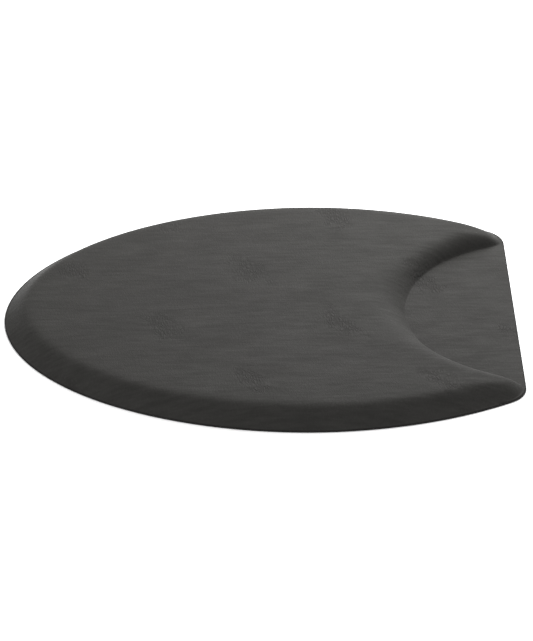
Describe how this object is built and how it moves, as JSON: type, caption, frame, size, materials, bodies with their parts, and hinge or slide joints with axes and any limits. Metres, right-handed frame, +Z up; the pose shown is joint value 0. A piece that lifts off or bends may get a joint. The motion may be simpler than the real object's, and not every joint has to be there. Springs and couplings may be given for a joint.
{
  "type": "anti-fatigue standing mat",
  "caption": "Oval cushioned standing mat with a rounded edge, cut straight at one end, where a round recess with a thin floor takes the base of a stool or chair.",
  "frame": {"origin": "the middle of the bounding box on the floor plane, under the mat", "axes": "+X along the mat to the straight end with the recess, +Y across the mat, +Z up out of the standing face"},
  "size_m": [0.66, 0.552, 0.023],
  "materials": {
    "embossed_skin": "matt dark grey synthetic leather, embossed with a fine creased grain",
    "soft_foam": "open-cell cushioning foam, dark grey",
    "firm_foam": "dense closed-cell foam, charcoal",
    "grip_rubber": "matt black anti-slip rubber sheet with six-sided tread pockets"
  },
  "bodies": {
    "root": {"top_skin": "embossed_skin", "comfort_foam": "soft_foam", "support_foam": "firm_foam", "base_sheet": "grip_rubber"}
  },
  "joints": []
}
